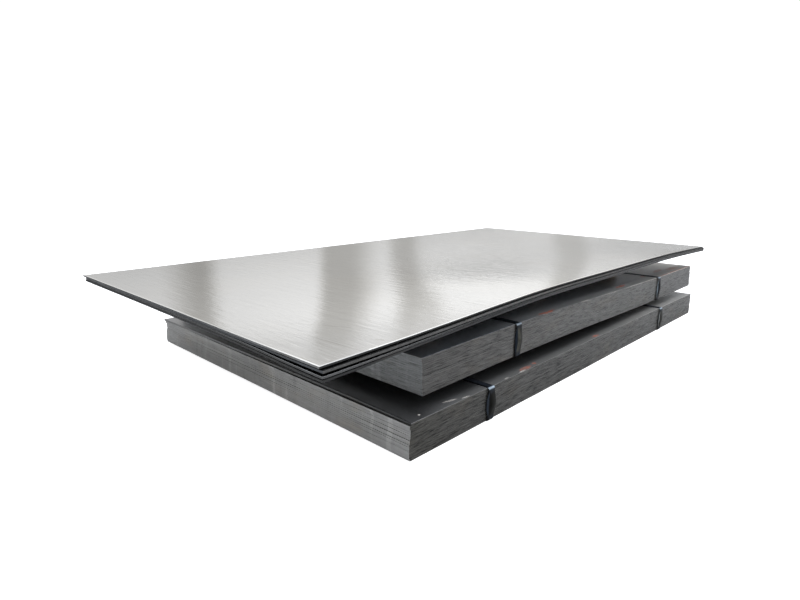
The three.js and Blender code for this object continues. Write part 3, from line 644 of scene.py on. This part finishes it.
# ---- loose plates --------------------------------------------------------------------------------------------------
LOOSE_L, PLATE_W, PLATE_T = 3048.0, 1524.0, 6.0
LOOSE_X, LOOSE_Y, LOOSE_TURN = -322.0, -1.0, math.radians(0.82)
RISE = {"near": 89.5, "left": 99, "right": 89, "far": 100}
SPRING, REACH = (27.2, -0.5, 0.6, -2.1, -1.2), 520.0
FAN_EDGE, FAN_CORNER = (0.8, 2.9, 0), (1.2, 3.7, 2.2)
SET = [
    ((0, 0), (0, 0), (0, 0), (0, 0)),
    ((1, -12), (-9, -8), (-4, -8), (6, -10)),
    ((0, -10), (-12, -9), (-6, -9), (7, -9)),
    ((1, -10), (-10, -7), (-5, -7), (5, -8)),
]  # near, right, far and left corners of each plate, off the top one's


def loose_top(a, b):
    """Height in mm above the upper bundle of loose plate 1's top face; a and b in mm."""
    u, v = a / LOOSE_L, b / PLATE_W
    flat = (RISE["near"] * (1 - u) + RISE["right"] * u) * (1 - v) + (RISE["left"] * (1 - u) + RISE["far"] * u) * v
    spring = sum(h * np.sin((i + 1) * np.pi * u) for i, h in enumerate(SPRING))
    return flat + spring * np.exp(-((b / REACH) ** 2))


def loose_drop(k, a, b):
    drop = 0
    for i in range(k):
        edge = FAN_EDGE[i] * np.exp(-((b / 250) ** 2)) * (1 - smoothstep(a, 1500, LOOSE_L))
        corner = FAN_CORNER[i] * np.exp(-((a / 330) ** 2)) * np.exp(-((b / 280) ** 2))
        drop = drop + PLATE_T + 0.55 + edge + corner
    return drop


def loose_place(k, a, b):
    """Where a point of plate k lies in the loose plates' own frame, in mm."""
    u, v = a / MM / LOOSE_L, b / MM / PLATE_W
    near, right, far, left = SET[k]
    move = [(near[i] * (1 - u) + right[i] * u) * (1 - v) + (left[i] * (1 - u) + far[i] * u) * v for i in (0, 1)]
    return a / MM + move[0], b / MM + move[1]


for k in range(4):
    a = np.linspace(0, LOOSE_L * MM, 170)
    b = np.concatenate([np.linspace(0, 0.3, 20), np.linspace(0.3, 1.524, 60)[1:]])

    def plan(a, b, k=k):
        A, B = loose_place(k, a, b)
        c, s = math.cos(LOOSE_TURN), math.sin(LOOSE_TURN)
        return OX + (LOOSE_X + c * A - s * B) * MM, OY + (LOOSE_Y + s * A + c * B) * MM

    def top(a, b, k=k):
        A, B = loose_place(k, a, b)
        swell = ripple(A * MM, 61, ((1.1, 0.5), (0.42, 0.12))) * np.cos(B / 610) + ripple(B * MM, 67, ((0.8, 0.35),))
        return UPPER_TOP + (loose_top(A, B) - loose_drop(k, A, B) + 0.3 * swell) * MM

    o = plate_mesh(
        "visual_loose_plate_" + str(k + 1), a, b, plan, top,
        lambda a, b, top=top: top(a, b) - PLATE_T * MM, 80 + k, "grid", (LOOSE_RINGS, TIGHT_RINGS, PALE_RINGS, TIGHT_RINGS)[k], share=(0.7, 0.1), rim=k in (0, 2), paint={0: painted_highlight_rim, 2: shaded_foot, 3: rusty_foot}.get(k),
    )
    wear(o, face_top1 if k == 0 else face_loose_painted_shade, loose_long[k], loose_short[k], face_under, *{0: (face_rim_painted_highlight,), 3: (red_edge,)}.get(k, ()))
    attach(o, "root")
    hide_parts("loose_plate_" + str(k + 1))

# ---- straps --------------------------------------------------------------------------------------------------------
BEND, STAND, STRAP_T, AIR, BOW_FRONT, BOW_BACK, STRAP_W = 5.0, 4.0, 1.0, 0.3, 7.0, 2.5, 32.0
CROWN_FRONT, CROWN_BACK = 4.6, 2.4  # how far its edges curl back in at half height
SPREAD = {"lower": 1.4, "upper": 1.18}  # and how much wider the slack front run lies there


def strap_path(front, back, low, high):
    """The band's inner line as (y, z) in mm, with its outward normal and how much its edges curl in, round the bundle."""
    pts, curl = [], []
    f, b, l, h, r = front - STAND, back + STAND, low - AIR, high + AIR, BEND

    def corner(cy, cz, start):
        for k in range(13):
            t = math.radians(start + 90 * k / 12)
            pts.append((cy + r * math.cos(t), cz + r * math.sin(t)))
            curl.append(0.0)

    def side(y, z0, z1, out, ease, crown):
        for k in range(1, 40):
            t = k / 40
            pts.append((y + out * float(smoothstep(min(t, 1 - t), 0, ease)), z0 + (z1 - z0) * t))
            curl.append(crown * float(smoothstep(min(t, 1 - t), 0.02, 0.42)))

    def run(y0, y1, z):
        d, n_ = math.copysign(1, y1 - y0), abs(y1 - y0)
        steps = [2, 4.5, 8, 14, 26]
        for k in steps + [26 + (n_ - 52) * k / 50 for k in range(1, 50)] + [n_ - q for q in steps[::-1]]:
            pts.append((y0 + d * k, z))
            curl.append(0.0)

    corner(f + r, l + r, 180)
    run(f + r, b - r, l)
    corner(b - r, l + r, 270)
    side(b, l + r, h - r, BOW_BACK, 0.2, CROWN_BACK)
    corner(b - r, h - r, 0)
    run(b - r, f + r, h)
    corner(f + r, h - r, 90)
    side(f, h - r, l + r, -BOW_FRONT, 0.5, CROWN_FRONT)
    p = np.array(pts)
    t = np.roll(p, -1, 0) - np.roll(p, 1, 0)
    t /= np.linalg.norm(t, axis=1)[:, None]
    return p, np.stack([t[:, 1], -t[:, 0]], 1), np.array(curl)


for which in ("lower", "upper"):
    for end in ("near", "far"):
        n = f"{which}_strap_{end}"
        lo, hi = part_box(n)
        cx = (lo.x + hi.x) / 2 / MM
        front, back = lo.y / MM + STRAP_T + STAND + BOW_FRONT, hi.y / MM - STRAP_T - STAND - BOW_BACK
        path, out, curl = strap_path(front, back, lo.z / MM + STRAP_T + AIR, hi.z / MM - STRAP_T - AIR)
        half, e = STRAP_W / 2, 0.28
        # profile across the band: (x, height above the inner face)
        xs = np.linspace(-half + e, half - e, 11)
        prof = [(-half, e)] + [(x, 0.0) for x in xs] + [(half, e), (half, STRAP_T - e)] + [(x, STRAP_T) for x in xs[::-1]] + [(-half, STRAP_T - e)]
        K, M = len(prof), len(path)
        creases = {k for k in range(K) if abs(prof[k][0]) > half - 1.5 * e and prof[k][1] in (0.0, STRAP_T)}
        verts, faces, uvs, sharp, across, crowned = [], [], [], [], [], []
        for (y, z), (ny, nz), c in zip(path, out, curl):
            for x, g in prof:
                g = g - c * (x / half) ** 2 * (1.9 if x < 0 else 0.7)
                wide = 1 + (SPREAD[which] - 1) * c / CROWN_FRONT if y < (front + back) / 2 else 1.0
                verts.append(((cx + x * wide) * MM, (y + ny * g) * MM, (z + nz * g) * MM))
                across.append(x / half)
                crowned.append(min(1.0, c / (0.3 * CROWN_FRONT)))
        around = np.concatenate([[0], np.cumsum(np.linalg.norm(np.roll(path, -1, 0) - path, axis=1))])
        around /= around[-1]
        for i in range(M):
            j = (i + 1) % M
            for k in range(K):
                q = (k + 1) % K
                faces.append((i * K + k, i * K + q, j * K + q, j * K + k))
                uvs += [(k / K, around[i]), ((k + 1) / K, around[i]), ((k + 1) / K, around[i + 1]), (k / K, around[i + 1])]
                if k in creases:
                    sharp.append((i * K + k, j * K + k))
        o = new_object("visual_" + n, verts, faces, uvs, None, sharp)
        # the blueing is rubbed off where the band turns over the upper long edges, and the pale blue bare steel there
        # is also a painted highlight of the bend
        bend = np.minimum(np.abs(path[:, 0] - path[:, 0].min() - BOW_FRONT), np.abs(path[:, 0] - path[:, 0].max() + BOW_BACK))
        flat = np.abs(path[:, 1] - path[:, 1].max())
        rub_and_highlight = np.clip(1.3 - np.hypot(np.maximum(bend - 3.0, 0), np.maximum(flat - 1.6, 0)) / 3.2, 0, 1)
        for label, values in (("wear_and_highlight", np.repeat(rub_and_highlight, K)), ("across", across), ("crowned", crowned)):
            layer = o.data.attributes.new(label, "FLOAT", "POINT")
            layer.data.foreach_set("value", np.asarray(values, np.float32))
        wear(o, strap_looks[which + "_" + end])
        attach(o, "root")
        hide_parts(n)

        # ---- its seal: a folded sleeve, pinched twice on each side where it was crimped
        n = f"{which}_seal_{end}"
        lo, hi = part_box(n)
        cx, thick, lip = (lo.x + hi.x) / 2, 1.4 * MM, 8.4 * MM
        y_in, y_out, hw = lo.y, hi.y, (hi.x - lo.x) / 2
        zs = np.linspace(lo.z, hi.z, 53)
        pinch = sum(np.exp(-(((zs - (lo.z + hi.z) / 2 - c) / (2.6 * MM)) ** 2)) for c in (-12 * MM, 12 * MM))
        rows = []
        for z, q in zip(zs, pinch):
            # outer outline of the C, then its inner one, both from the left lip's tip round to the right one's
            w = hw - 2.0 * MM * q
            dip = 0.5 * MM * q
            r = 1.5 * MM

            def arc(x, y, radius, a0, a1):
                return [(x + radius * math.cos(math.radians(a0 + (a1 - a0) * k / 4)), y + radius * math.sin(math.radians(a0 + (a1 - a0) * k / 4))) for k in range(5)]

            outer = [(-w + lip, y_in)] + arc(-w + r, y_in + r, r, 270, 180) + arc(-w + r, y_out - r - dip, r, 180, 90)
            outer += arc(w - r, y_out - r - dip, r, 90, 0) + arc(w - r, y_in + r, r, 0, -90) + [(w - lip, y_in)]
            s_ = r - 0.2 * MM
            v = w - thick
            inner = [(-w + lip, y_in + thick)] + arc(-v + s_, y_in + thick + s_, s_, 270, 180) + arc(-v + s_, y_out - thick - s_ - dip, s_, 180, 90)
            inner += arc(v - s_, y_out - thick - s_ - dip, s_, 90, 0) + arc(v - s_, y_in + thick + s_, s_, 0, -90) + [(w - lip, y_in + thick)]
            rows.append([(cx + x, y, z) for x, y in outer + inner[::-1]])
        K, M = len(rows[0]), len(rows)
        verts = [v for row in rows for v in row]
        faces, uvs = [], []
        for i in range(M - 1):
            for k in range(K):
                q = (k + 1) % K
                faces.append((i * K + k, i * K + q, (i + 1) * K + q, (i + 1) * K + k))
                uvs += [(k / K, 0.05 + 0.9 * i / M), ((k + 1) / K, 0.05 + 0.9 * i / M), ((k + 1) / K, 0.05 + 0.9 * (i + 1) / M), (k / K, 0.05 + 0.9 * (i + 1) / M)]
        h_ = K // 2
        for base_, turn in ((0, True), ((M - 1) * K, False)):
            for k in range(h_ - 1):
                loop = [base_ + k, base_ + k + 1, base_ + K - 2 - k, base_ + K - 1 - k]
                faces.append(tuple(loop[::-1] if turn else loop))
                v0 = 0.0 if turn else 0.96
                uvs += [(k / h_, v0), ((k + 1) / h_, v0), ((k + 1) / h_, v0 + 0.03), (k / h_, v0 + 0.03)]
        o = new_object("visual_" + n, verts, faces, uvs, None, None)
        for label, values in (("across", [(v[0] - cx) / hw for v in verts]), ("crowned", np.ones(len(verts))), ("wear_and_highlight", 0.35 * np.repeat(pinch, K))):
            layer = o.data.attributes.new(label, "FLOAT", "POINT")
            layer.data.foreach_set("value", np.asarray(values, np.float32))
        wear(o, blued)
        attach(o, "root")
        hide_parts(n)

# ---- battens: sawn timber with worn arrises --------------------------------------------------------------------------
for index, n in enumerate(sorted(k for k in NODES if "_batten_" in k)):
    lo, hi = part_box(n)
    hx, hz, cx, cz = (hi.x - lo.x) / 2, (hi.z - lo.z) / 2, (lo.x + hi.x) / 2, (lo.z + hi.z) / 2
    section = []
    for qx, qz, a0 in ((1, -1, -90), (1, 1, 0), (-1, 1, 90), (-1, -1, 180)):
        for k in range(6):
            section.append((qx, qz, math.radians(a0 + 90 * k / 5)))
        if qz * qx < 0:
            section += [(qx, qz, None, t) for t in (0.25, 0.5, 0.75)]
        else:
            section += [(qx, qz, None, t) for t in (0.2, 0.4, 0.6, 0.8)]
    M = 120
    verts, wood_at = [], []
    ys = np.linspace(lo.y, hi.y, M)
    K = len(section)
    for i, y in enumerate(ys):
        end_in = 1.2 * MM if i in (0, M - 1) else 0.0
        radii = [(2.6 + 1.1 * rnd(index * 4 + c, math.floor(y * 9)) * 0.5 + 1.0 * math.sin(y * 23 + c * 2.1 + index)) * MM for c in range(4)]
        for item in section:
            qx, qz = item[0], item[1]
            c = {(1, -1): 0, (1, 1): 1, (-1, 1): 2, (-1, -1): 3}[(qx, qz)]
            if item[2] is not None:
                r = max(1.4 * MM, radii[c])
                x, z = qx * (hx - r) + r * math.cos(item[2]), qz * (hz - r) + r * math.sin(item[2])
            else:
                n2 = {0: (1, 1), 1: (-1, 1), 2: (-1, -1), 3: (1, -1)}[c]
                x0_, z0_, x1_, z1_ = qx * hx, qz * hz, n2[0] * hx, n2[1] * hz
                x, z = x0_ + (x1_ - x0_) * item[3], z0_ + (z1_ - z0_) * item[3]
            if abs(x) > hx - 4 * MM:
                x -= math.copysign(0.35 * MM * (1 + math.sin(y * 61 + index * 2.3 + z * 90)), x)
            x -= math.copysign(end_in, x)
            z -= math.copysign(end_in, z)
            z = max(-hz, min(hz, z))
            verts.append((cx + x, y, cz + z))
            wood_at.append((x + 0.01 * rnd(index, 5), y + index * 2.7, z))
    faces, uvs, sharp = [], [], []
    for i in range(M - 1):
        for k in range(K):
            q = (k + 1) % K
            faces.append((i * K + k, i * K + q, (i + 1) * K + q, (i + 1) * K + k)[::-1])
            uvs += [(0.9 * (i + 1) / M, k / K), (0.9 * (i + 1) / M, (k + 1) / K), (0.9 * i / M, (k + 1) / K), (0.9 * i / M, k / K)]
    for base_, turn in ((0, False), ((M - 1) * K, True)):
        loop = [base_ + k for k in range(K)]
        faces.append(tuple(loop[::-1] if turn else loop))
        loop = loop[::-1] if turn else loop
        uvs += [(0.95 + 0.045 * (verts[v][0] - cx) / hx, (0.25 if turn else 0.75) + 0.2 * (verts[v][2] - cz) / hx) for v in loop]
        sharp += [(base_ + k, base_ + (k + 1) % K) for k in range(K)]
    o = new_object("visual_" + n, verts, faces, uvs, None, sharp)
    layer = o.data.attributes.new("wood", "FLOAT_VECTOR", "POINT")
    layer.data.foreach_set("vector", np.asarray(wood_at, np.float32).ravel())
    wear(o, wood)
    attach(o, "root")
    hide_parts(n)

# ---- floor ---------------------------------------------------------------------------------------------------------
m, N, p, P, xyz = material("floor")
n = N.noise(N.scaled(P, 2, 2, 2), 1.0, 3)
N.put(p.inputs["Base Color"], N.mix(n, rgb(0.70, 0.70, 0.70), rgb(0.72, 0.72, 0.72)))
p.inputs["Roughness"].default_value = 0.9
p.inputs["Specular IOR Level"].default_value = 0.1
glow = N.node("ShaderNodeEmission")
seen = N.mul(N.node("ShaderNodeLightPath").outputs["Is Camera Ray"], 0.8)
N.put(glow.inputs["Strength"], seen)
both = N.node("ShaderNodeAddShader")
target = [x for x in m.node_tree.nodes if x.bl_idname == "ShaderNodeOutputMaterial"][0]
m.node_tree.links.new(p.outputs[0], both.inputs[0])
m.node_tree.links.new(glow.outputs[0], both.inputs[1])
m.node_tree.links.new(both.outputs[0], target.inputs[0])
floor = new_object("floor", [(-60, -60, 0), (60, -60, 0), (60, 60, 0), (-60, 60, 0)], [(0, 1, 2, 3)], smooth=False)
floor.location.z = -0.0002
wear(floor, m)

# ---- light: a soft studio surround, brighter above, with a few dim uprights in it ------------------------------------
world = bpy.data.worlds.new("studio")
bpy.context.scene.world = world
world.use_nodes = True
world.node_tree.nodes.clear()
N = Nodes(world.node_tree)
out = N.node("ShaderNodeOutputWorld")
direction = N.node("ShaderNodeTexCoord").outputs["Generated"]
split = N.node("ShaderNodeSeparateXYZ")
world.node_tree.links.new(direction, split.inputs[0])
dx, dy, dz = split.outputs
FACE = (0.69164, 0.72224)  # the bearing that azimuth is measured from
ahead = N.add(N.mul(dx, FACE[0]), N.mul(dy, FACE[1]))
right = N.sub(N.mul(dx, FACE[1]), N.mul(dy, FACE[0]))
az = N.mul(N.math("ARCTAN2", right, ahead), 180 / math.pi)
el = N.mul(N.math("ARCSINE", N.math("MINIMUM", N.math("MAXIMUM", dz, -1), 1)), 180 / math.pi)


def curve(value, stops):
    """A smooth line through (value, height) stops, heights from 0 to 2."""
    lo_, hi_ = stops[0][0], stops[-1][0]
    f = N.range(value, lo_, hi_, 0, 1, smooth=False)
    ramp = N.node("ShaderNodeValToRGB")
    ramp.color_ramp.interpolation = "B_SPLINE" if len(stops) > 2 else "LINEAR"
    while len(ramp.color_ramp.elements) < len(stops):
        ramp.color_ramp.elements.new(0.5)
    for el_, (v, h) in zip(ramp.color_ramp.elements, stops):
        el_.position = (v - lo_) / (hi_ - lo_)
        el_.color = (h / 4, h / 4, h / 4, 1)
    N.put(ramp.inputs[0], f)
    return N.mul(ramp.outputs[0], 4)


by_az = curve(az, [(-180, 1.0), (-60, 0.95), (-27, 0.68), (-19, 0.76), (-12, 0.90), (-4, 0.99), (5, 1.06), (16, 1.15), (23, 1.02), (30, 0.86), (50, 0.92), (80, 0.95), (180, 1.0)])
by_el = curve(el, [(0, 0.58), (5, 0.60), (7, 0.625), (8, 0.715), (9, 0.84), (10.2, 0.97), (11.5, 1.02), (13, 1.085), (14.5, 1.16), (16, 1.25), (17, 1.22), (18, 1.0), (20, 0.86), (24, 1.05), (34, 1.75), (50, 2.1), (90, 2.1)])


def upright(centre, halves, softs, depth, slant=0.0, fade=(15, 21)):
    """A dim upright: how far it reaches to either side, how soft each side is, and how it leans."""
    d = N.sub(az, centre)
    if slant:
        d = N.sub(d, N.mul(N.math("MAXIMUM", N.sub(el, 9.0), 0.0), slant))
    left = N.range(d, -halves[0] - softs[0], -halves[0] + softs[0])
    right_ = N.range(d, halves[1] - softs[1], halves[1] + softs[1], 1.0, 0.0)
    return N.mul(N.mul(N.mul(left, right_), depth), N.mul(N.range(el, 6.8, 9.4, 0.46, 1.0), N.range(el, fade[0], fade[1], 1.0, 0.25)))


def glow(az0, el0, raz, rel, gain):
    d = N.add(N.math("POWER", N.math("ABSOLUTE", N.mul(N.sub(az, az0), 1 / raz)), 2), N.math("POWER", N.math("ABSOLUTE", N.mul(N.sub(el, el0), 1 / rel)), 2))
    return N.add(1.0, N.mul(N.range(d, 0.3, 1.7, 1.0, 0.0), gain))


dim = None
for band in (
    (-17.3, (1.6, 1.8), (2.2, 1.0), 0.45),
    (-1.8, (2.3, 2.4), (0.7, 1.9), 0.455, -0.14, (16, 22)),
    (4.4, (1.35, 1.0), (0.8, 0.6), 0.43, 0.06),
    (4.7, (1.1, 0.9), (0.8, 0.7), 0.43, 0.31),
    (20.9, (1.4, 1.4), (0.9, 0.8), 0.32),
):
    b = upright(*band)
    dim = b if dim is None else N.math("MAXIMUM", dim, b)
level = N.mul(N.mul(by_az, by_el), N.sub(1.0, dim))
# a darker stretch low down between the last two uprights, with brighter gaps beside it
for spot_ in ((10.0, 7.5, 6.5, 1.4, -0.27), (16.0, 7.0, 5.0, 1.2, -0.12), (11.8, 10.1, 7.5, 1.15, 0.32), (19.0, 8.5, 2.6, 0.6, 0.24), (17.5, 9.5, 2.2, 0.4, -0.12), (25.0, 8.6, 5.0, 0.9, 0.33), (12.5, 12.5, 7.0, 1.1, -0.10), (13.0, 7.4, 6.5, 0.8, -0.05), (31.0, 7.2, 2.2, 0.8, -0.10)):
    level = N.mul(level, glow(*spot_))
tint = N.mix(N.range(el, 20, 45), rgb(1.0, 0.998, 0.99), rgb(0.95, 0.99, 1.05))
tint = N.mix(N.mul(dim, 1.6), tint, rgb(1.0, 0.975, 0.92))
bg = N.node("ShaderNodeBackground")
world.node_tree.links.new(tint, bg.inputs[0])
world.node_tree.links.new(level, bg.inputs[1])
plain = N.node("ShaderNodeBackground")
plain.inputs[0].default_value = rgb(1, 1, 1)
plain.inputs[1].default_value = 1.05
path = N.node("ShaderNodeLightPath")
pick = N.node("ShaderNodeMixShader")
world.node_tree.links.new(path.outputs["Is Camera Ray"], pick.inputs[0])
world.node_tree.links.new(bg.outputs[0], pick.inputs[1])
world.node_tree.links.new(plain.outputs[0], pick.inputs[2])
world.node_tree.links.new(pick.outputs[0], out.inputs[0])

bpy.context.scene.view_settings.view_transform = "Standard"
bpy.context.scene.view_settings.look = "None"

# ---- camera --------------------------------------------------------------------------------------------------------
cam = bpy.data.cameras.new("camera")
cam.sensor_width = 36
cam.lens = 543.3 / 800 * 36
cam.shift_x = (400 - 361.3) / 800
cam.shift_y = -1.5 / 800
cam.clip_start, cam.clip_end = 0.05, 200
eye = bpy.data.objects.new("camera", cam)
bpy.context.scene.collection.objects.link(eye)
pitch, roll = math.radians(12.78), math.radians(-0.10)
forward = Vector((FACE[0] * math.cos(pitch), FACE[1] * math.cos(pitch), -math.sin(pitch)))
right_v = Vector((FACE[1], -FACE[0], 0))
up_v = right_v.cross(forward)
r2 = right_v * math.cos(roll) - up_v * math.sin(roll)
u2 = right_v * math.sin(roll) + up_v * math.cos(roll)
eye.matrix_world = Matrix(((r2.x, u2.x, -forward.x, OX - 1.0499), (r2.y, u2.y, -forward.y, OY - 0.8971), (r2.z, u2.z, -forward.z, 0.7773), (0, 0, 0, 1)))
bpy.context.scene.camera = eye
